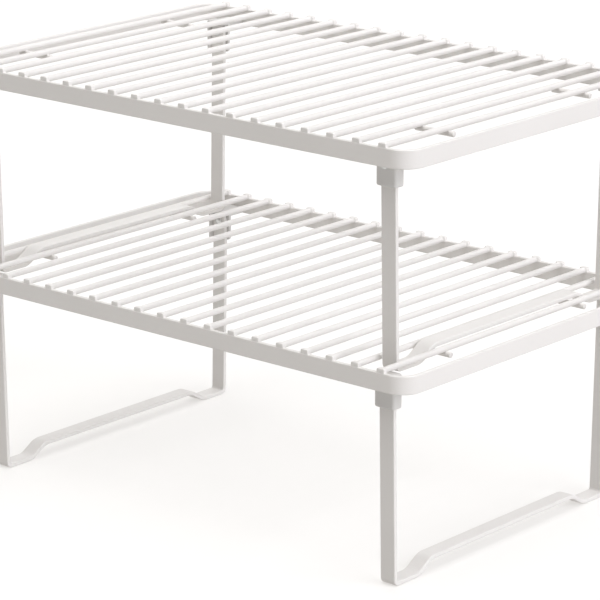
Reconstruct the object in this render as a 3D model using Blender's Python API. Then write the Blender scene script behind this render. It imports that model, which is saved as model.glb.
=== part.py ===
"""Two stacked wire shelves for a kitchen cabinet or counter, in metres, +Z up.

Each shelf is a deck of round wires welded across a flat-bar rail, on two U-shaped flat-bar leg
frames. A leg frame hangs on two pivot pins in plastic hinge blocks, so that it folds inwards
under its deck. The upper shelf stands in the gaps between the end wires of the lower one, with
its feet on the lower hinge blocks, and lifts straight off.

The origin is on the floor, under the middle of the stack. X runs along the shelves' length.
Every piece of a shelf is placed in that shelf's own frame, whose origin is in the middle of the
deck, level with the underside of the rail.
"""

import math

import bmesh
import bpy
from mathutils import Matrix, Vector

# Driving dimensions
SHELF_LENGTH = 0.420
SHELF_DEPTH = 0.279
LEG_HEIGHT = 0.1395  # floor to the underside of the rail
STACK_PITCH = 0.1455  # from one deck to the next
GAP = 0.0003  # between pieces that meet

# Rail: flat bar on edge, bent into a loop
RAIL_HEIGHT = 0.0124
RAIL_THICKNESS = 0.003
RAIL_CORNER_RADIUS = 0.015
RAIL_CORNER_STEPS = 8

# Deck wires, let into the rail's top edge
WIRE_COUNT = 19
WIRE_PITCH = 0.021
WIRE_RADIUS = 0.0021
WIRE_RISE = 0.0008  # axis above the rail's top edge
WIRE_SIDES = 12
END_WIRES = 2  # at each end, tied together by the locating stubs

# Locating stubs: short rods welded under the end wires, between the feet of the shelf above
STUB_RADIUS = 0.0019
STUB_LENGTH = 0.031
STUB_Y = 0.073
STUB_WELD_DEPTH = 0.0004

# Leg frames: flat bar bent into a U with an arched foot
LEG_X = WIRE_PITCH * (WIRE_COUNT - END_WIRES) / 2  # middle of the gap between the end wires
LEG_WIDTH = 0.012
LEG_THICKNESS = 0.003
LEG_TOP_Y = 0.1195  # outer face at the hinge
LEG_FOOT_Y = 0.117  # outer face at the floor
LEG_STRAIGHT = 0.020  # below the rail, before the leg leans in
FOOT_BEND_RADIUS = 0.0032
FOOT_BEND_STEPS = 5
ARCH_HEIGHT = 0.008
ARCH_FOOT_Y = 0.0915
ARCH_TOP_Y = 0.0785
ARCH_BEND_RADIUS = 0.014
ARCH_BEND_STEPS = 3
EYE_STEPS = 5

# Pivot pins
PIN_DROP = 0.0032  # axis below the rail's underside
PIN_RADIUS = 0.002
PIN_CLEARANCE = 0.0001
PIN_HEAD_RADIUS = 0.0032
PIN_HEAD_LENGTH = 0.0014
PIN_SIDES = 20

# Hinge blocks: an outer wall, an outboard wall that stops the leg, a roof, and an arm to the rail
BLOCK_DROP = 0.0177  # below the rail's underside
BLOCK_RISE = STACK_PITCH - LEG_HEIGHT - GAP  # above it, up to the foot of the shelf above
BLOCK_INBOARD = 0.0078  # from the pin axis towards the middle of the shelf
BLOCK_OUTBOARD = 0.0084  # from the pin axis towards its end
BLOCK_DEPTH = 0.0092
BLOCK_WALL = 0.003
ARM_INSET = 0.0008
ARM_OVERLAP = 0.001

# Weld studs on the rail that carry the hinge blocks' arms
STUD_RADIUS = 0.0015
STUD_LENGTH = 0.0095
STUD_RISE = 0.0029  # axis above the rail's underside
STUD_SIDES = 12

# Base colour, roughness and metallic value
COATED_STEEL = ((0.77, 0.74, 0.72), 0.42, 0.0)
HINGE_PLASTIC = ((0.60, 0.59, 0.58), 0.47, 0.0)
ZINC_STEEL = ((0.60, 0.60, 0.59), 0.35, 1.0)

ALONG_X = Matrix.Rotation(math.pi / 2, 4, "Y")
ALONG_Y = Matrix.Rotation(math.pi / 2, 4, "X")


def clear_scene():
    for existing in list(bpy.data.objects):
        bpy.data.objects.remove(existing, do_unlink=True)


def make_material(name, finish):
    colour, roughness, metallic = finish
    material = bpy.data.materials.new(name)
    material.use_nodes = True
    shader = material.node_tree.nodes["Principled BSDF"]
    shader.inputs["Base Color"].default_value = (*colour, 1.0)
    shader.inputs["Roughness"].default_value = roughness
    shader.inputs["Metallic"].default_value = metallic
    material.diffuse_color = (*colour, 1.0)
    return material


def mesh_from(bm, name):
    """Turn a bmesh into a mesh with outward faces, and free the bmesh."""
    bmesh.ops.recalc_face_normals(bm, faces=bm.faces)
    mesh = bpy.data.meshes.new(name)
    bm.to_mesh(mesh)
    bm.free()
    return mesh


def add_cylinder(bm, radius, length, sides, placement):
    bmesh.ops.create_cone(
        bm, cap_ends=True, segments=sides, radius1=radius, radius2=radius, depth=length, matrix=placement
    )


def cylinder(name, radius, length, sides, placement):
    bm = bmesh.new()
    add_cylinder(bm, radius, length, sides, placement)
    return mesh_from(bm, name)


def box(name, low, high):
    low, high = Vector(low), Vector(high)
    bm = bmesh.new()
    stretch = Matrix.Diagonal((*(high - low), 1.0))
    bmesh.ops.create_cube(bm, size=1.0, matrix=Matrix.Translation((low + high) / 2) @ stretch)
    return mesh_from(bm, name)


def combine(base, other, operation):
    """Return base joined with or cut by another mesh, and remove both."""
    subject = bpy.data.objects.new("subject", base)
    tool = bpy.data.objects.new("tool", other)
    for item in (subject, tool):
        bpy.context.scene.collection.objects.link(item)
    boolean = subject.modifiers.new("boolean", "BOOLEAN")
    boolean.operation = operation
    boolean.solver = "EXACT"
    boolean.object = tool
    evaluated = subject.evaluated_get(bpy.context.evaluated_depsgraph_get())
    result = bpy.data.meshes.new_from_object(evaluated)
    result.name = base.name
    for item in (subject, tool):
        bpy.data.objects.remove(item, do_unlink=True)
    for mesh in (base, other):
        bpy.data.meshes.remove(mesh)
    return result


def rounded_loop(inset):
    """Points of the rail's outline, moved inwards by inset, anticlockwise from above."""
    radius = RAIL_CORNER_RADIUS - inset
    centre_x = SHELF_LENGTH / 2 - RAIL_CORNER_RADIUS
    centre_y = SHELF_DEPTH / 2 - RAIL_CORNER_RADIUS
    points = []
    for corner, (side_x, side_y) in enumerate(((1, 1), (-1, 1), (-1, -1), (1, -1))):
        for step in range(RAIL_CORNER_STEPS + 1):
            angle = math.pi / 2 * (corner + step / RAIL_CORNER_STEPS)
            points.append(
                (side_x * centre_x + radius * math.cos(angle), side_y * centre_y + radius * math.sin(angle))
            )
    return points


def wire_positions():
    """X of every deck wire, from left to right."""
    return [WIRE_PITCH * (number - (WIRE_COUNT - 1) / 2) for number in range(WIRE_COUNT)]


def hinge_corners():
    """Name and outward directions in X and Y of each corner of a shelf."""
    for row, side_y in (("front", -1), ("back", 1)):
        for end, side_x in (("left", -1), ("right", 1)):
            yield f"{row}_{end}", side_x, side_y


def rail_mesh():
    bm = bmesh.new()
    rings = [
        [bm.verts.new((x, y, z)) for x, y in rounded_loop(inset)]
        for inset, z in ((0, 0), (0, RAIL_HEIGHT), (RAIL_THICKNESS, RAIL_HEIGHT), (RAIL_THICKNESS, 0))
    ]
    for ring, following in zip(rings, rings[1:] + rings[:1]):
        for index in range(len(ring)):
            ahead = (index + 1) % len(ring)
            bm.faces.new((ring[index], ring[ahead], following[ahead], following[index]))
    rail = mesh_from(bm, "rail")

    notches = bmesh.new()
    for x in wire_positions():
        place = Matrix.Translation((x, 0, RAIL_HEIGHT + WIRE_RISE)) @ ALONG_Y
        add_cylinder(notches, WIRE_RADIUS + GAP, SHELF_DEPTH + 2 * RAIL_THICKNESS, WIRE_SIDES, place)
    rail = combine(rail, mesh_from(notches, "notches"), "DIFFERENCE")

    studs = bmesh.new()
    root_y = SHELF_DEPTH / 2 - RAIL_THICKNESS
    middle_y = root_y + RAIL_THICKNESS / 3 - STUD_LENGTH / 2
    for _, side_x, side_y in hinge_corners():
        place = Matrix.Translation((side_x * LEG_X, side_y * middle_y, STUD_RISE)) @ ALONG_Y
        add_cylinder(studs, STUD_RADIUS, STUD_LENGTH, STUD_SIDES, place)
    return combine(rail, mesh_from(studs, "studs"), "UNION")


def wire_mesh(name="wire", x=0.0):
    place = Matrix.Translation((x, 0, RAIL_HEIGHT + WIRE_RISE)) @ ALONG_Y
    return cylinder(name, WIRE_RADIUS, SHELF_DEPTH - 2 * GAP, WIRE_SIDES, place)


def end_grid_mesh():
    """The two end wires and the stubs welded under them, centred on the gap between the wires."""
    grid = combine(wire_mesh("end_grid", -WIRE_PITCH / 2), wire_mesh(x=WIRE_PITCH / 2), "UNION")
    stub_z = RAIL_HEIGHT + WIRE_RISE - WIRE_RADIUS - STUB_RADIUS + STUB_WELD_DEPTH
    for side_y in (-1, 1):
        place = Matrix.Translation((0, side_y * STUB_Y, stub_z)) @ ALONG_X
        grid = combine(grid, cylinder("stub", STUB_RADIUS, STUB_LENGTH, WIRE_SIDES, place), "UNION")
    return grid


def bend(corner, before, after, radius, steps):
    """Points of the arc that rounds a corner of a path, with the directions along it."""
    arriving = (corner - before).normalized()
    leaving = (after - corner).normalized()
    turn = arriving.angle_signed(leaving)
    setback = radius * math.tan(abs(turn) / 2)
    normal = Vector((-arriving.y, arriving.x)) * (-1 if turn > 0 else 1)
    centre = corner - arriving * setback + normal * radius
    for step in range(steps + 1):
        spin = Matrix.Rotation(-turn * step / steps, 2)
        yield centre - spin @ normal * radius, spin @ arriving


def leg_half_path():
    """Middle line of the front leg and half its foot, in Y and Z, from the eye to the arch."""
    half = LEG_THICKNESS / 2
    top_y, foot_y = LEG_TOP_Y - half, LEG_FOOT_Y - half
    floor_z = half - LEG_HEIGHT
    knee = Vector((-top_y, -LEG_STRAIGHT))
    heel = Vector((-foot_y, floor_z))
    arch_foot = Vector((-ARCH_FOOT_Y, floor_z))
    arch_top = Vector((-ARCH_TOP_Y, floor_z + ARCH_HEIGHT))
    middle = Vector((0, floor_z + ARCH_HEIGHT))
    path = [(knee, (heel - knee).normalized())]
    path += bend(heel, knee, arch_foot, FOOT_BEND_RADIUS, FOOT_BEND_STEPS)
    path += bend(arch_foot, heel, arch_top, ARCH_BEND_RADIUS, ARCH_BEND_STEPS)
    path += bend(arch_top, arch_foot, middle, ARCH_BEND_RADIUS, ARCH_BEND_STEPS)
    return path


def leg_frame_mesh():
    """A bent flat bar with a rounded eye at each end, centred on its pivot axis."""
    half_width = LEG_WIDTH / 2
    eye_y = LEG_THICKNESS / 2 - LEG_TOP_Y
    sections = []
    for step in range(EYE_STEPS + 1):
        angle = math.pi / 2 * (1 - (step + 0.5) / (EYE_STEPS + 0.5))
        point = Vector((eye_y, half_width * math.sin(angle) - PIN_DROP))
        sections.append((point, Vector((0, -1)), half_width * math.cos(angle)))
    sections += [(point, along, half_width) for point, along in leg_half_path()]
    back = [(Vector((-point.x, point.y)), Vector((along.x, -along.y)), width) for point, along, width in sections]
    sections += reversed(back)

    bm = bmesh.new()
    rings = []
    for point, along, width in sections:
        across = Vector((-along.y, along.x)) * LEG_THICKNESS / 2
        corners = ((-width, across), (width, across), (width, -across), (-width, -across))
        rings.append([bm.verts.new((x, *(point + offset))) for x, offset in corners])
    for ring, following in zip(rings, rings[1:]):
        for index in range(4):
            ahead = (index + 1) % 4
            bm.faces.new((ring[index], ring[ahead], following[ahead], following[index]))
    bm.faces.new(rings[0])
    bm.faces.new(rings[-1])
    frame = mesh_from(bm, "leg_frame")

    place = Matrix.Translation((0, 0, -PIN_DROP)) @ ALONG_Y
    hole = cylinder("eye_holes", PIN_RADIUS + PIN_CLEARANCE, SHELF_DEPTH, PIN_SIDES, place)
    frame = combine(frame, hole, "DIFFERENCE")
    frame.transform(Matrix.Translation((0, 0, PIN_DROP)))
    return frame


def hinge_block_mesh(side_x, side_y):
    """A block for one corner, with X measured from the pivot axis."""
    outer_y = LEG_TOP_Y + GAP + BLOCK_WALL
    arm_end_y = SHELF_DEPTH / 2 - RAIL_THICKNESS - GAP
    far = SHELF_DEPTH

    def corner_box(name, low, high):
        (x0, y0, z0), (x1, y1, z1) = low, high
        across = sorted((side_x * x0, side_x * x1))
        along = sorted((side_y * y0, side_y * y1))
        return box(name, (across[0], along[0], z0), (across[1], along[1], z1))

    body = corner_box(
        "hinge_block",
        (-BLOCK_INBOARD, outer_y - BLOCK_DEPTH, -BLOCK_DROP),
        (BLOCK_OUTBOARD, outer_y, BLOCK_RISE),
    )
    arm = corner_box(
        "arm",
        (ARM_INSET - BLOCK_INBOARD, outer_y - ARM_OVERLAP, GAP),
        (BLOCK_OUTBOARD - ARM_INSET, arm_end_y, BLOCK_RISE - ARM_INSET),
    )
    body = combine(body, arm, "UNION")
    slot = corner_box(
        "slot",
        (-far, LEG_TOP_Y - far, -far),
        (LEG_WIDTH / 2 + GAP, LEG_TOP_Y + GAP, LEG_WIDTH / 2 + GAP - PIN_DROP),
    )
    body = combine(body, slot, "DIFFERENCE")
    place = Matrix.Translation((0, side_y * outer_y, -PIN_DROP)) @ ALONG_Y
    hole = cylinder("pin_hole", PIN_RADIUS + PIN_CLEARANCE, 4 * BLOCK_WALL, PIN_SIDES, place)
    body = combine(body, hole, "DIFFERENCE")
    bore_end_y = SHELF_DEPTH / 2 - RAIL_THICKNESS * 2 / 3 - STUD_LENGTH - GAP
    place = Matrix.Translation((0, side_y * (bore_end_y + far / 2), STUD_RISE)) @ ALONG_Y
    bore = cylinder("stud_bore", STUD_RADIUS + GAP, far, STUD_SIDES, place)
    return combine(body, bore, "DIFFERENCE")


def pivot_pin_mesh():
    """A riveted pin for a front corner, with its axis along Y."""
    outer_y = LEG_TOP_Y + 2 * GAP + BLOCK_WALL
    inner_y = LEG_TOP_Y - LEG_THICKNESS - GAP
    profile = (
        (outer_y + PIN_HEAD_LENGTH, PIN_HEAD_RADIUS),
        (outer_y, PIN_HEAD_RADIUS),
        (outer_y, PIN_RADIUS),
        (inner_y, PIN_RADIUS),
        (inner_y, PIN_HEAD_RADIUS),
        (inner_y - PIN_HEAD_LENGTH, PIN_HEAD_RADIUS),
    )
    bm = bmesh.new()
    rings = []
    for y, radius in profile:
        angles = [math.tau * side / PIN_SIDES for side in range(PIN_SIDES)]
        rings.append([bm.verts.new((radius * math.cos(a), -y, radius * math.sin(a))) for a in angles])
    for ring, following in zip(rings, rings[1:]):
        for index in range(PIN_SIDES):
            ahead = (index + 1) % PIN_SIDES
            bm.faces.new((ring[index], ring[ahead], following[ahead], following[index]))
    bm.faces.new(rings[0])
    bm.faces.new(rings[-1])
    return mesh_from(bm, "pivot_pin")


def place_piece(name, mesh, material, deck, location, turn=0.0):
    piece = bpy.data.objects.new(name, mesh)
    bpy.context.scene.collection.objects.link(piece)
    if not mesh.materials:
        mesh.materials.append(material)
    piece.parent = deck
    piece.location = location
    piece.rotation_euler = (0, 0, turn)
    return piece


def build_shelf(level, height, meshes, materials):
    """Place one shelf's pieces under an empty in the middle of its deck."""
    deck = bpy.data.objects.new(f"{level}_shelf", None)
    bpy.context.scene.collection.objects.link(deck)
    deck.location = (0, 0, height)
    steel, plastic, zinc = materials

    place_piece(f"{level}_rail", meshes["rail"], steel, deck, (0, 0, 0))
    wires = list(enumerate(wire_positions(), start=1))
    for number, x in wires[END_WIRES:-END_WIRES]:
        place_piece(f"{level}_wire_{number:02d}", meshes["wire"], steel, deck, (x, 0, 0))
    for end, side_x in (("left", -1), ("right", 1)):
        middle = side_x * LEG_X
        place_piece(f"{level}_{end}_end_grid", meshes["end_grid"], steel, deck, (middle, 0, 0))
        place_piece(f"{level}_{end}_leg_frame", meshes["leg_frame"], steel, deck, (middle, 0, -PIN_DROP))
    for corner, side_x, side_y in hinge_corners():
        block = meshes["block_same" if side_x == side_y else "block_opposite"]
        turn = 0.0 if side_y < 0 else math.pi
        place_piece(f"{level}_{corner}_hinge_block", block, plastic, deck, (side_x * LEG_X, 0, 0), turn)
        pin_place = (side_x * LEG_X, 0, -PIN_DROP)
        place_piece(f"{level}_{corner}_pivot_pin", meshes["pivot_pin"], zinc, deck, pin_place, turn)


def main():
    clear_scene()
    materials = (
        make_material("white_powder_coat", COATED_STEEL),
        make_material("white_hinge_plastic", HINGE_PLASTIC),
        make_material("zinc_plated_steel", ZINC_STEEL),
    )
    meshes = {
        "rail": rail_mesh(),
        "wire": wire_mesh(),
        "end_grid": end_grid_mesh(),
        "leg_frame": leg_frame_mesh(),
        "block_same": hinge_block_mesh(-1, -1),
        "block_opposite": hinge_block_mesh(1, -1),
        "pivot_pin": pivot_pin_mesh(),
    }
    build_shelf("lower", LEG_HEIGHT, meshes, materials)
    build_shelf("upper", LEG_HEIGHT + STACK_PITCH, meshes, materials)
    for mesh in meshes.values():
        mesh.shade_smooth()
        mesh.set_sharp_from_angle(angle=math.radians(35))


main()
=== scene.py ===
"""Looks for a white two-tier wire shelf riser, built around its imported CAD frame.

Each CAD node is replaced by a more detailed piece in the same place: bars with rolled edges, wires
whose welded ends are pressed wide and flat, moulded hinge blocks and domed rivets. All lengths are
in metres.
"""

import math
from collections import namedtuple

import bmesh
import bpy
from mathutils import Matrix, Vector


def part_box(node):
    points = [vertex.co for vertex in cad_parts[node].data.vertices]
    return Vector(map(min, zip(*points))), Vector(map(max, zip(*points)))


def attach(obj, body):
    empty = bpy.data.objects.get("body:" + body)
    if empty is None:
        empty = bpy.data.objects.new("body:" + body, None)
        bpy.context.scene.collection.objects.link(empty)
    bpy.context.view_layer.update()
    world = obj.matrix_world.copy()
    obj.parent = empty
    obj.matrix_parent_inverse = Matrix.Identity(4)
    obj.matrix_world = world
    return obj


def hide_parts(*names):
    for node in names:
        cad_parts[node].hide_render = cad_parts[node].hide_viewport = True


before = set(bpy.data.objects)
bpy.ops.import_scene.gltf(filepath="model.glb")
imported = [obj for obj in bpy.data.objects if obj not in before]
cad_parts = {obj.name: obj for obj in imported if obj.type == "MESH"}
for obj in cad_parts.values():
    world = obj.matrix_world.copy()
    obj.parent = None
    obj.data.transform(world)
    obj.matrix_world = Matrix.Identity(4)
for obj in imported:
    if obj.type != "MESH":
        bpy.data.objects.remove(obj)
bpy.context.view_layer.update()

LEVELS = ("lower", "upper")
ENDS = {"left": -1, "right": 1}
ROWS = {"front": -1, "back": 1}
SIDES = (-1, 1)
CORNERS = ((1, 1), (-1, 1), (-1, -1), (1, -1))  # of a rectangle, anticlockwise
MIDDLE_WIRES = range(3, 18)
QUARTER_TURN = math.pi / 2

# Rail: flat bar on edge
RAIL_THICKNESS = 0.003
RAIL_CORNER_RADIUS = 0.015
RAIL_CORNER_STEPS = 20

# Rolled edges of the flat bars
BAR_EDGE_RADIUS = 0.0007
BAR_EDGE_LIMIT = 0.95  # largest rounding, as a share of the bar's shorter half side
EDGE_STEPS = 4
EDGE_SUPPORT = 0.00015  # loops beside a rounded edge keep the flats flat
SHARP_DEGREES = 50

# Wires: round, with welded ends that are pressed wide and flat
WELD_HALF_WIDTH = 0.0031
WELD_CORNER_RADIUS = 0.0011
WELD_CORNER_STEPS = 7
WELD_TOE = 0.0004
WELD_TOE_STEPS = 3
WELD_DEPTH = 0.0006
WELD_RUNOUT = 0.0013  # length in which a pressed end becomes round
WELD_RUNOUT_STEPS = 6
WIRE_END_RADIUS = 0.0005
WIRE_SIDE_LOW = math.radians(-50)  # the part of a round wire that becomes a pressed side
WIRE_SIDE_HIGH = QUARTER_TURN - 0.12
WIRE_UNDERSIDE = (math.radians(-110), math.radians(-70))
ROD_END_STEPS = 4

# Locating stubs and their weld beads
STUB_Y = 0.073
STUB_RADIUS = 0.0019
STUB_EDGE = 0.0004
STUB_SIDES = 24
BEAD_SIZE = Vector((0.0021, 0.0022, 0.0009))
BEAD_SINK = 0.0002
BEAD_WOBBLE = 0.06
BEAD_WAVES = Vector((5, 3, 0))

# Leg frames
LEG_THICKNESS = 0.003
LEG_FOOT_Y = 0.117
LEG_STRAIGHT = 0.020  # below the rail, before the leg leans in
KNEE_EASE = 0.001  # from that bend to the rings above and below it
PIVOT_DROP = 0.0032  # pivot axis below the rail
HEEL_RADIUS = 0.0032
ARCH_HEIGHT = 0.008
ARCH_FOOT_Y = 0.0915
ARCH_TOP_Y = 0.0785
ARCH_RADIUS = 0.014
BEND_STEPS = 8
EYE_STEPS = 12
EYE_HOLE_RADIUS = 0.0021

# Hinge blocks
BLOCK_WALL = 0.003
BLOCK_SIDE_WALL = 0.0024
BLOCK_DEPTH = 0.0092
BLOCK_CORNER_RADIUS = 0.0018
BLOCK_CORNER_STEPS = 6
BLOCK_GAP = 0.0003
ARM_INSET = 0.0008
ARM_ROOT = 0.003  # how far the arm reaches into the block
ARM_EDGE_RADIUS = 0.0008
ARM_EDGE_STEPS = 4
SLOT_EDGE_RADIUS = 0.0006
SLOT_EDGE_STEPS = 3
CUT_MARGIN = 0.03  # how far a cutter runs past what it cuts

# Rivets
RIVET_RADIUS = 0.002
RIVET_HEAD_RADIUS = 0.0029
RIVET_HEAD_LENGTH = 0.0014
RIVET_RIM = 0.18  # straight share of the head's length
RIVET_SIDES = 32
DOME_STEPS = 8
DOME_TIP_RADIUS = 0.00005

# Materials
NOISE_SPAN = (0.3, 0.7)  # where nearly all of a noise lies
GLOSS_FINENESS = 6  # gloss patches to a tint patch
SPECULAR = 0.35

# Stage
WHITE = (1.0, 1.0, 1.0)
FLOOR_HALF_SIDE = 40
FLOOR_DROP = 0.0002
FLOOR_COLOUR = (0.45, 0.443, 0.435)
FLOOR_GLOW = (1.0, 0.985, 0.965)
FLOOR_GLOW_STRENGTH = 0.52
FLOOR_ROUGHNESS = 0.9
FLOOR_SPECULAR = 0.1
FLOOR_BOUNCE = (0.695, 0.676, 0.658)
DIM_CEILING = (0.06, 0.056, 0.05)
SKY = (  # sine of the height, colour
    (-0.08, FLOOR_BOUNCE),
    (-0.06, WHITE),
    (0.06, WHITE),
    (0.13, DIM_CEILING),
)

# Camera
CAMERA_PLACE = (1.4038, -1.6291, 0.7587)
CAMERA_BEARING = 130.69  # where it looks: degrees from +X towards +Y, and degrees up
CAMERA_HEIGHT = -16.22
CAMERA_SENSOR = 36  # millimetres, like the lens
CAMERA_LENS = 192.5
CAMERA_RANGE = (0.1, 100)


# ---------------------------------------------------------------- mesh helpers


def arc(centre, radius, start, end, steps):
    """Points of a circular arc in a plane, both ends included."""
    points = []
    for step in range(steps + 1):
        angle = start + (end - start) * step / steps
        points.append(Vector((centre[0] + radius * math.cos(angle), centre[1] + radius * math.sin(angle))))
    return points


def mirrored(points):
    """Points on the other side of X = 0, in the opposite order."""
    return [Vector((-p.x, p.y)) for p in reversed(points)]


def bar_section(half_width, half_height, radius):
    """A rounded rectangle, anticlockwise, with support points beside each rounded corner."""
    shorter = min(half_width, half_height)
    radius = min(radius, shorter * BAR_EDGE_LIMIT)
    support = min(EDGE_SUPPORT, (shorter - radius) / 2)
    points = []
    for quarter, (side_x, side_y) in enumerate(CORNERS):
        centre = Vector((side_x * (half_width - radius), side_y * (half_height - radius)))
        start = quarter * QUARTER_TURN
        corner = arc(centre, radius, start, start + QUARTER_TURN, EDGE_STEPS)
        entering = Vector((math.sin(start), -math.cos(start))) * support
        leaving = Vector((-math.cos(start), -math.sin(start))) * support
        points += [corner[0] + entering, *corner, corner[-1] + leaving]
    return points


def rounded_end(edge):
    """Steps round the edge of a rod's end: the distance from the end, and how much thinner the rod is."""
    for step in range(ROD_END_STEPS + 1):
        turn = QUARTER_TURN * step / ROD_END_STEPS
        yield edge * (1 - math.cos(turn)), edge * (1 - math.sin(turn))


def loft(bm, rings, closed=False):
    """Skin a run of equal rings. An open run gets a face on each end."""
    made = [[bm.verts.new(point) for point in ring] for ring in rings]
    pairs = list(zip(made, made[1:]))
    if closed:
        pairs.append((made[-1], made[0]))
    for ring, following in pairs:
        for index in range(len(ring)):
            ahead = (index + 1) % len(ring)
            bm.faces.new((ring[index], ring[ahead], following[ahead], following[index]))
    if not closed:
        bm.faces.new(made[0])
        bm.faces.new(made[-1])


def turned(bm, profile, sides, placement):
    """Skin a profile of (distance along Z, radius) pairs turned about Z, then place it."""
    rings = []
    for along, radius in profile:
        ring = []
        for side in range(sides):
            angle = math.tau * side / sides
            ring.append(placement @ Vector((radius * math.cos(angle), radius * math.sin(angle), along)))
        rings.append(ring)
    loft(bm, rings)


def shade(mesh):
    """Shade a mesh smooth, with its real corners sharp."""
    mesh.shade_smooth()
    mesh.set_sharp_from_angle(angle=math.radians(SHARP_DEGREES))


def finish_mesh(bm, name):
    """Turn a bmesh into a shaded mesh."""
    bmesh.ops.recalc_face_normals(bm, faces=bm.faces)
    mesh = bpy.data.meshes.new(name)
    bm.to_mesh(mesh)
    bm.free()
    shade(mesh)
    return mesh


def linked_object(name, data):
    """A new object of the scene."""
    made = bpy.data.objects.new(name, data)
    bpy.context.scene.collection.objects.link(made)
    return made


def evaluated_mesh(subject, name):
    """The mesh of an object after its modifiers. The object is removed."""
    depsgraph = bpy.context.evaluated_depsgraph_get()
    mesh = bpy.data.meshes.new_from_object(subject.evaluated_get(depsgraph))
    mesh.name = name
    old = subject.data
    bpy.data.objects.remove(subject, do_unlink=True)
    bpy.data.meshes.remove(old)
    return mesh


def combined(base, other, operation):
    """A mesh joined with or cut by another. Both are used up."""
    subject = linked_object(base.name, base)
    tool = linked_object(other.name, other)
    boolean = subject.modifiers.new("boolean", "BOOLEAN")
    boolean.operation = operation
    boolean.solver = "EXACT"
    boolean.object = tool
    result = evaluated_mesh(subject, base.name)
    shade(result)
    bpy.data.objects.remove(tool, do_unlink=True)
    bpy.data.meshes.remove(other)
    return result


def rounded_box(name, low, high, radius, steps):
    """A box with every edge rounded."""
    low, high = Vector(low), Vector(high)
    placement = Matrix.Translation((low + high) / 2) @ Matrix.Diagonal((*(high - low), 1.0))
    bm = bmesh.new()
    bmesh.ops.create_cube(bm, size=1.0, matrix=placement)
    bmesh.ops.bevel(
        bm, geom=bm.edges[:], offset=radius, offset_type="OFFSET", segments=steps, profile=0.5, affect="EDGES"
    )
    return finish_mesh(bm, name)


# ------------------------------------------------------------------- materials


def noise(nodes, links, coordinates, scale, detail):
    """A noise texture's value."""
    texture = nodes.new("ShaderNodeTexNoise")
    texture.inputs["Scale"].default_value = scale
    texture.inputs["Detail"].default_value = detail
    links.new(coordinates, texture.inputs["Vector"])
    return texture.outputs["Fac"]


def spread(nodes, links, value, low, high):
    """Map a noise's usual span to low..high."""
    span = nodes.new("ShaderNodeMapRange")
    span.inputs["From Min"].default_value = NOISE_SPAN[0]
    span.inputs["From Max"].default_value = NOISE_SPAN[1]
    span.inputs["To Min"].default_value = low
    span.inputs["To Max"].default_value = high
    links.new(value, span.inputs["Value"])
    return span.outputs["Result"]


def surface(name, colours, tint_scale, roughness, grain_scale, grain_height, metallic=0.0):
    """A material with slow tint changes, uneven gloss and a fine relief."""
    material = bpy.data.materials.new(name)
    material.use_nodes = True
    nodes, links = material.node_tree.nodes, material.node_tree.links
    shader = nodes["Principled BSDF"]
    shader.inputs["Metallic"].default_value = metallic
    shader.inputs["Specular IOR Level"].default_value = SPECULAR
    place = nodes.new("ShaderNodeTexCoord").outputs["Object"]

    tint = nodes.new("ShaderNodeMix")
    tint.data_type = "RGBA"
    tint.inputs["A"].default_value = (*colours[0], 1.0)
    tint.inputs["B"].default_value = (*colours[1], 1.0)
    patches = noise(nodes, links, place, scale=tint_scale, detail=3)
    links.new(spread(nodes, links, patches, 0.0, 1.0), tint.inputs["Factor"])
    links.new(tint.outputs["Result"], shader.inputs["Base Color"])

    gloss = noise(nodes, links, place, scale=tint_scale * GLOSS_FINENESS, detail=4)
    links.new(spread(nodes, links, gloss, *roughness), shader.inputs["Roughness"])

    relief = nodes.new("ShaderNodeBump")
    relief.inputs["Strength"].default_value = 1.0
    relief.inputs["Distance"].default_value = grain_height
    links.new(noise(nodes, links, place, scale=grain_scale, detail=2), relief.inputs["Height"])
    links.new(relief.outputs["Normal"], shader.inputs["Normal"])
    return material


POWDER_COAT = surface(
    "powder_coat",
    colours=((0.775, 0.753, 0.729), (0.755, 0.732, 0.707)),
    tint_scale=18,
    roughness=(0.36, 0.48),
    grain_scale=650,
    grain_height=0.000045,
)
HINGE_PLASTIC = surface(
    "hinge_plastic",
    colours=((0.68, 0.668, 0.65), (0.66, 0.647, 0.63)),
    tint_scale=60,
    roughness=(0.42, 0.52),
    grain_scale=3200,
    grain_height=0.000012,
)
RIVET_STEEL = surface(
    "zinc_plate",
    colours=((0.62, 0.62, 0.61), (0.54, 0.54, 0.53)),
    tint_scale=400,
    roughness=(0.28, 0.42),
    grain_scale=2500,
    grain_height=0.000008,
    metallic=1.0,
)


def add_piece(name, mesh, material, body, node):
    """Show a mesh in place of a CAD node, riding on the node's body."""
    mesh.materials.clear()
    mesh.materials.append(material)
    piece = linked_object(name, mesh)
    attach(piece, body)
    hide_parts(node)


# ------------------------------------------------------------------------ rail


def rail_mesh(name, low, high):
    """A loop of flat bar on edge, with rolled edges."""
    section = bar_section(RAIL_THICKNESS / 2, (high.z - low.z) / 2, BAR_EDGE_RADIUS)
    centre_z = (low.z + high.z) / 2
    inner_x = (high.x - low.x) / 2 - RAIL_CORNER_RADIUS
    inner_y = (high.y - low.y) / 2 - RAIL_CORNER_RADIUS
    bend_radius = RAIL_CORNER_RADIUS - RAIL_THICKNESS / 2
    rings = []
    for quarter, (side_x, side_y) in enumerate(CORNERS):
        for step in range(RAIL_CORNER_STEPS + 1):
            angle = QUARTER_TURN * (quarter + step / RAIL_CORNER_STEPS)
            outward = Vector((math.cos(angle), math.sin(angle), 0))
            middle = Vector((side_x * inner_x, side_y * inner_y, centre_z)) + outward * bend_radius
            rings.append([middle + outward * p.x + Vector((0, 0, p.y)) for p in section])
    bm = bmesh.new()
    loft(bm, rings, closed=True)
    return finish_mesh(bm, name)


# ----------------------------------------------------------------------- wires

WireSize = namedtuple("WireSize", "radius half_length axis_z rise rail_inner_y")


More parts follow.
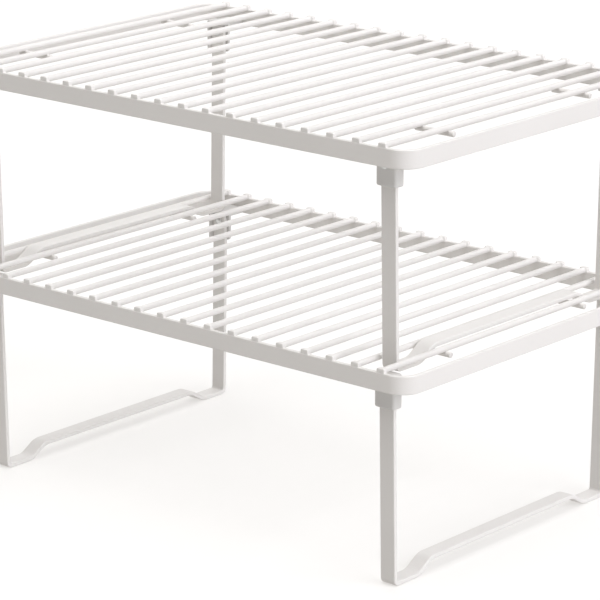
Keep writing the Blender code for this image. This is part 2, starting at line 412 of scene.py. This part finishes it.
def wire_size(level, rail_high):
    """What the wires of a level share. Rise is from the rail's top edge to a wire's axis."""
    low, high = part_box(f"{level}_wire_03")
    axis_z = (high.z + low.z) / 2
    return WireSize(
        radius=(high.x - low.x) / 2,
        half_length=high.y,
        axis_z=axis_z,
        rise=axis_z - rail_high.z,
        rail_inner_y=rail_high.y - RAIL_THICKNESS,
    )


def wire_sections(radius, rise):
    """Matching plain and welded cross-sections of a wire, about its axis.

    Both run anticlockwise from the lower right. The rail's top edge is at -rise.
    """
    foot = WELD_HALF_WIDTH + WELD_TOE
    bottom = -rise - WELD_DEPTH
    shoulder = (WELD_HALF_WIDTH - WELD_CORNER_RADIUS, radius - WELD_CORNER_RADIUS)
    right = [Vector((foot, bottom))]
    right += arc((foot, WELD_TOE - rise), WELD_TOE, -QUARTER_TURN, -math.pi, WELD_TOE_STEPS)
    right += arc(shoulder, WELD_CORNER_RADIUS, 0, QUARTER_TURN, WELD_CORNER_STEPS)
    welded = right + mirrored(right)
    welded += [Vector((x, bottom)) for x in (-foot / 2, 0, foot / 2)]

    side = arc((0, 0), radius, WIRE_SIDE_LOW, WIRE_SIDE_HIGH, len(right) - 1)
    plain = side + mirrored(side) + arc((0, 0), radius, *WIRE_UNDERSIDE, steps=2)
    return plain, welded


def wire_rings(x, size):
    """Rings of a wire along Y, welded to the rail at both ends."""
    plain, welded = wire_sections(size.radius, size.rise)
    half = []
    for back, thinner in rounded_end(WIRE_END_RADIUS):
        half.append((size.half_length - back, [p * (1 - thinner / size.radius) for p in welded]))
    for step in range(WELD_RUNOUT_STEPS + 1):
        share = step / WELD_RUNOUT_STEPS
        eased = share * share * (3 - 2 * share)
        section = [pressed.lerp(round_point, eased) for pressed, round_point in zip(welded, plain)]
        half.append((size.rail_inner_y - WELD_RUNOUT * share, section))
    half.append((size.rail_inner_y / 2, plain))
    stations = [(-y, section) for y, section in half] + [(0, plain), *reversed(half)]
    return [[Vector((x + p.x, y, size.axis_z + p.y)) for p in section] for y, section in stations]


def stub_profile(length):
    """Turned profile of a stub with rounded ends, from end to end."""
    start = [(back - length / 2, STUB_RADIUS - thinner) for back, thinner in rounded_end(STUB_EDGE)]
    return start + [(-along, radius) for along, radius in reversed(start)]


def add_bead(bm, centre):
    """A small, slightly uneven weld bead."""
    ball = bmesh.ops.create_icosphere(bm, subdivisions=3, radius=1.0)
    for vert in ball["verts"]:
        wobble = 1 + BEAD_WOBBLE * math.sin(vert.co.dot(BEAD_WAVES))
        vert.co = centre + vert.co * BEAD_SIZE * wobble


def end_grid_mesh(name, low, high, pitch, size):
    """Two wires, the two stubs under them and their weld beads, as one solid."""
    centre_x = (low.x + high.x) / 2
    wire_places = [centre_x + side * pitch / 2 for side in SIDES]
    stub_z = low.z + STUB_RADIUS
    wires, stubs, beads = bmesh.new(), bmesh.new(), bmesh.new()
    for wire_x in wire_places:
        loft(wires, wire_rings(wire_x, size))
    for side in SIDES:
        stub_y = side * STUB_Y
        across = Matrix.Translation((centre_x, stub_y, stub_z)) @ Matrix.Rotation(QUARTER_TURN, 4, "Y")
        turned(stubs, stub_profile(high.x - low.x), STUB_SIDES, across)
        for wire_x in wire_places:
            add_bead(beads, Vector((wire_x, stub_y, stub_z + STUB_RADIUS - BEAD_SINK)))
    mesh = combined(finish_mesh(wires, name), finish_mesh(stubs, "stubs"), "UNION")
    return combined(mesh, finish_mesh(beads, "beads"), "UNION")


# ------------------------------------------------------------------ leg frames


def bend(corner, before, after, radius):
    """Points of the arc that rounds a corner of a path, with the directions along it."""
    arriving = (corner - before).normalized()
    leaving = (after - corner).normalized()
    turn = arriving.angle_signed(leaving)
    setback = radius * math.tan(abs(turn) / 2)
    normal = Vector((-arriving.y, arriving.x)) * (-1 if turn > 0 else 1)
    centre = corner - arriving * setback + normal * radius
    for step in range(BEND_STEPS + 1):
        spin = Matrix.Rotation(-turn * step / BEND_STEPS, 2)
        yield centre - spin @ normal * radius, spin @ arriving


def eye_stations(pivot, half_width):
    """Stations down the round top of a leg. The first is half a step past the tip, so it has a width."""
    for step in range(EYE_STEPS + 1):
        angle = QUARTER_TURN * (1 - (step + 0.5) / (EYE_STEPS + 0.5))
        point = pivot + Vector((0, half_width * math.sin(angle)))
        yield point, Vector((0, -1)), half_width * math.cos(angle)


def leg_stations(top_y, floor_z, rail_z, pivot_z, half_width):
    """Points down, under and up a leg frame in its YZ plane, with directions and half widths."""
    knee = Vector((-top_y, rail_z - LEG_STRAIGHT))
    heel = Vector((LEG_THICKNESS / 2 - LEG_FOOT_Y, floor_z))
    arch_foot = Vector((-ARCH_FOOT_Y, floor_z))
    arch_top = Vector((-ARCH_TOP_Y, floor_z + ARCH_HEIGHT))
    middle = Vector((0, floor_z + ARCH_HEIGHT))
    down, ease = Vector((0, -1)), Vector((0, KNEE_EASE))
    path = [(knee + ease, down), (knee - ease, (heel - knee).normalized())]
    path += bend(heel, knee, arch_foot, HEEL_RADIUS)
    path += bend(arch_foot, heel, arch_top, ARCH_RADIUS)
    path += bend(arch_top, arch_foot, middle, ARCH_RADIUS)
    stations = list(eye_stations(Vector((-top_y, pivot_z)), half_width))
    stations += [(point, along, half_width) for point, along in path]
    back = [(Vector((-p.x, p.y)), Vector((along.x, -along.y)), width) for p, along, width in stations]
    return stations + back[::-1]


def leg_mesh(name, low, high, rail_z):
    """A flat bar bent into a U with an arched foot and a round eye at each end."""
    half_thickness = LEG_THICKNESS / 2
    half_width = (high.x - low.x) / 2
    centre_x = (high.x + low.x) / 2
    pivot_z = rail_z - PIVOT_DROP
    stations = leg_stations(high.y - half_thickness, low.z + half_thickness, rail_z, pivot_z, half_width)
    rings = []
    for point, along, width in stations:
        across = Vector((-along.y, along.x))
        ring = []
        for p in bar_section(width, half_thickness, BAR_EDGE_RADIUS):
            place = point + across * p.y
            ring.append(Vector((centre_x + p.x, place.x, place.y)))
        rings.append(ring)
    bar = bmesh.new()
    loft(bar, rings)

    drill = bmesh.new()
    reach = high.y + CUT_MARGIN
    along_y = Matrix.Translation((centre_x, 0, pivot_z)) @ Matrix.Rotation(QUARTER_TURN, 4, "X")
    turned(drill, ((-reach, EYE_HOLE_RADIUS), (reach, EYE_HOLE_RADIUS)), RIVET_SIDES, along_y)
    return combined(finish_mesh(bar, name), finish_mesh(drill, "drill"), "DIFFERENCE")


# ---------------------------------------------------------------- hinge blocks


def block_mesh(name, low, high, pivot, side_x, side_y, rail_z):
    """A moulded block round the top of a leg: outer and outboard walls, a roof and an arm to the rail."""
    reach = high.y if side_y > 0 else -low.y
    inner_y = reach - (high.y - low.y)
    wall_y = inner_y + BLOCK_DEPTH
    leg_y = wall_y - BLOCK_WALL
    outboard = max(abs(high.x - pivot.x), abs(low.x - pivot.x))
    inboard = (high.x - low.x) - outboard
    slot_x = outboard - BLOCK_SIDE_WALL + BLOCK_GAP

    def cornered(part, near, far, radius, steps):
        """A rounded box from coordinates measured outwards: X from the pivot, Y from the middle."""
        across = sorted((pivot.x + side_x * near[0], pivot.x + side_x * far[0]))
        along = sorted((side_y * near[1], side_y * far[1]))
        return rounded_box(part, (across[0], along[0], near[2]), (across[1], along[1], far[2]), radius, steps)

    body = cornered(
        name,
        (-inboard, inner_y, low.z),
        (outboard, wall_y, high.z),
        BLOCK_CORNER_RADIUS,
        BLOCK_CORNER_STEPS,
    )
    arm = cornered(
        "arm",
        (ARM_INSET - inboard, wall_y - ARM_ROOT, rail_z + BLOCK_GAP),
        (outboard - ARM_INSET, reach + BLOCK_GAP, high.z - ARM_INSET),
        ARM_EDGE_RADIUS,
        ARM_EDGE_STEPS,
    )
    slot = cornered(
        "slot",
        (-CUT_MARGIN, leg_y - CUT_MARGIN, low.z - CUT_MARGIN),
        (slot_x, leg_y, pivot.z + slot_x),
        SLOT_EDGE_RADIUS,
        SLOT_EDGE_STEPS,
    )
    return combined(combined(body, arm, "UNION"), slot, "DIFFERENCE")


# ---------------------------------------------------------------------- rivets


def rivet_mesh(name, low, high, side_y):
    """A pin with a domed head at each end."""
    shank = (high.y - low.y) / 2 - RIVET_HEAD_LENGTH
    rim = shank + RIVET_HEAD_LENGTH * RIVET_RIM
    dome = RIVET_HEAD_LENGTH * (1 - RIVET_RIM)
    profile = []
    for step in range(DOME_STEPS + 1):
        turn = QUARTER_TURN * step / DOME_STEPS
        radius = max(RIVET_HEAD_RADIUS * math.sin(turn), DOME_TIP_RADIUS)
        profile.append((rim + dome * math.cos(turn), radius))
    profile += [(shank, RIVET_HEAD_RADIUS), (shank, RIVET_RADIUS)]
    profile += [(-along, radius) for along, radius in reversed(profile)]
    along_y = Matrix.Translation((low + high) / 2) @ Matrix.Rotation(side_y * QUARTER_TURN, 4, "X")
    bm = bmesh.new()
    turned(bm, profile, RIVET_SIDES, along_y)
    return finish_mesh(bm, name)


# -------------------------------------------------------------- build the stack


def build_rail(level, body):
    """Build the rail of a level, and return its box."""
    low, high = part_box(f"{level}_rail")
    mesh = rail_mesh(f"{level}_rail_bar", low, high)
    add_piece(f"{level}_rail_bar", mesh, POWDER_COAT, body, f"{level}_rail")
    return low, high


def build_middle_wires(level, body, size):
    """Build the wires between the end grids."""
    for number in MIDDLE_WIRES:
        node = f"{level}_wire_{number:02d}"
        low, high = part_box(node)
        bm = bmesh.new()
        loft(bm, wire_rings((low.x + high.x) / 2, size))
        add_piece(f"{node}_rod", finish_mesh(bm, node), POWDER_COAT, body, node)


def build_end_grid(level, end, body, size):
    """Build the last two wires of an end, with their stubs."""
    node = f"{level}_{end}_end_grid"
    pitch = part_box(f"{level}_wire_04")[0].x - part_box(f"{level}_wire_03")[0].x
    mesh = end_grid_mesh(node, *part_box(node), pitch, size)
    add_piece(f"{node}_rods", mesh, POWDER_COAT, body, node)


def build_leg_frame(level, end, body, rail_z):
    """Build the leg frame of an end."""
    node = f"{level}_{end}_leg_frame"
    mesh = leg_mesh(f"{node}_bar", *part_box(node), rail_z)
    add_piece(f"{node}_bar", mesh, POWDER_COAT, body, node)


def build_hinge(level, row, end, body, rail_z):
    """Build the block and the rivet that hold one leg."""
    block_node = f"{level}_{row}_{end}_hinge_block"
    pin_node = f"{level}_{row}_{end}_pivot_pin"
    pin_low, pin_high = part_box(pin_node)
    pivot = (pin_low + pin_high) / 2
    mesh = block_mesh(f"{block_node}_moulding", *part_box(block_node), pivot, ENDS[end], ROWS[row], rail_z)
    add_piece(f"{block_node}_moulding", mesh, HINGE_PLASTIC, body, block_node)
    mesh = rivet_mesh(f"{pin_node}_rivet", pin_low, pin_high, ROWS[row])
    add_piece(f"{pin_node}_rivet", mesh, RIVET_STEEL, body, pin_node)


for level in LEVELS:
    deck_body = "lower_deck" if level == "lower" else "upper_shelf"
    rail_low, rail_high = build_rail(level, deck_body)
    size = wire_size(level, rail_high)
    build_middle_wires(level, deck_body, size)
    for end in ENDS:
        leg_body = f"lower_{end}_leg" if level == "lower" else deck_body
        build_end_grid(level, end, deck_body, size)
        build_leg_frame(level, end, leg_body, rail_low.z)
    for row in ROWS:
        for end in ENDS:
            build_hinge(level, row, end, deck_body, rail_low.z)


# ----------------------------------------------------------------------- stage


def stage_floor():
    """A wide white floor. The world gives its bounce, so it can be whiter than its light."""
    bm = bmesh.new()
    bmesh.ops.create_grid(bm, x_segments=1, y_segments=1, size=FLOOR_HALF_SIDE)
    mesh = bpy.data.meshes.new("floor")
    bm.to_mesh(mesh)
    bm.free()
    material = bpy.data.materials.new("floor")
    material.use_nodes = True
    shader = material.node_tree.nodes["Principled BSDF"]
    shader.inputs["Base Color"].default_value = (*FLOOR_COLOUR, 1.0)
    shader.inputs["Emission Color"].default_value = (*FLOOR_GLOW, 1.0)
    shader.inputs["Emission Strength"].default_value = FLOOR_GLOW_STRENGTH
    shader.inputs["Roughness"].default_value = FLOOR_ROUGHNESS
    shader.inputs["Specular IOR Level"].default_value = FLOOR_SPECULAR
    mesh.materials.append(material)
    floor = linked_object("floor", mesh)
    floor.location = (0, 0, -FLOOR_DROP)
    floor.visible_diffuse = False


def set_world():
    """A studio with a white horizon under a dim warm ceiling, and the floor's bounce from below."""
    world = bpy.data.worlds.new("studio")
    bpy.context.scene.world = world
    world.use_nodes = True
    nodes, links = world.node_tree.nodes, world.node_tree.links
    split = nodes.new("ShaderNodeSeparateXYZ")
    links.new(nodes.new("ShaderNodeTexCoord").outputs["Generated"], split.inputs[0])
    share = nodes.new("ShaderNodeMapRange")  # the sine of the height, from -1..1 to 0..1
    share.inputs["From Min"].default_value = -1.0
    links.new(split.outputs["Z"], share.inputs["Value"])
    ramp = nodes.new("ShaderNodeValToRGB")
    stops = ramp.color_ramp.elements
    for sine, colour in SKY:
        stops.new((1 + sine) / 2).color = (*colour, 1.0)
    stops.remove(stops[0])
    stops.remove(stops[-1])
    links.new(share.outputs["Result"], ramp.inputs["Fac"])
    links.new(ramp.outputs["Color"], nodes["Background"].inputs["Color"])
    nodes["Background"].inputs["Strength"].default_value = 1.0


def direction(bearing, height):
    """A unit vector at a bearing (0 is +X, 90 is +Y) and a height, in degrees."""
    turn, lift = math.radians(bearing), math.radians(height)
    return Vector((math.cos(turn) * math.cos(lift), math.sin(turn) * math.cos(lift), math.sin(lift)))


def sun(name, bearing, height, angle, energy, colour):
    """Soft parallel light that comes from a bearing and a height."""
    data = bpy.data.lights.new(name, "SUN")
    data.angle = math.radians(angle)
    data.energy = energy
    data.color = colour
    light = linked_object(name, data)
    light.rotation_mode = "QUATERNION"
    light.rotation_quaternion = direction(bearing, height).to_track_quat("Z", "Y")


def place_camera():
    """A long lens, from the front right and above."""
    data = bpy.data.cameras.new("camera")
    data.sensor_width = CAMERA_SENSOR
    data.lens = CAMERA_LENS
    data.clip_start, data.clip_end = CAMERA_RANGE
    camera = linked_object("camera", data)
    camera.location = CAMERA_PLACE
    camera.rotation_mode = "QUATERNION"
    camera.rotation_quaternion = direction(CAMERA_BEARING, CAMERA_HEIGHT).to_track_quat("-Z", "Y")
    bpy.context.scene.camera = camera


stage_floor()
set_world()
sun("ceiling_light", bearing=90, height=87, angle=60, energy=1.7, colour=WHITE)
sun("front_light", bearing=-90, height=60, angle=40, energy=0.75, colour=(1.0, 0.99, 0.97))
sun("back_light", bearing=150, height=22, angle=50, energy=0.75, colour=WHITE)
sun("key_light", bearing=2, height=29, angle=46, energy=2.2, colour=(0.99, 1.0, 1.06))
place_camera()
bpy.context.scene.view_settings.view_transform = "Standard"
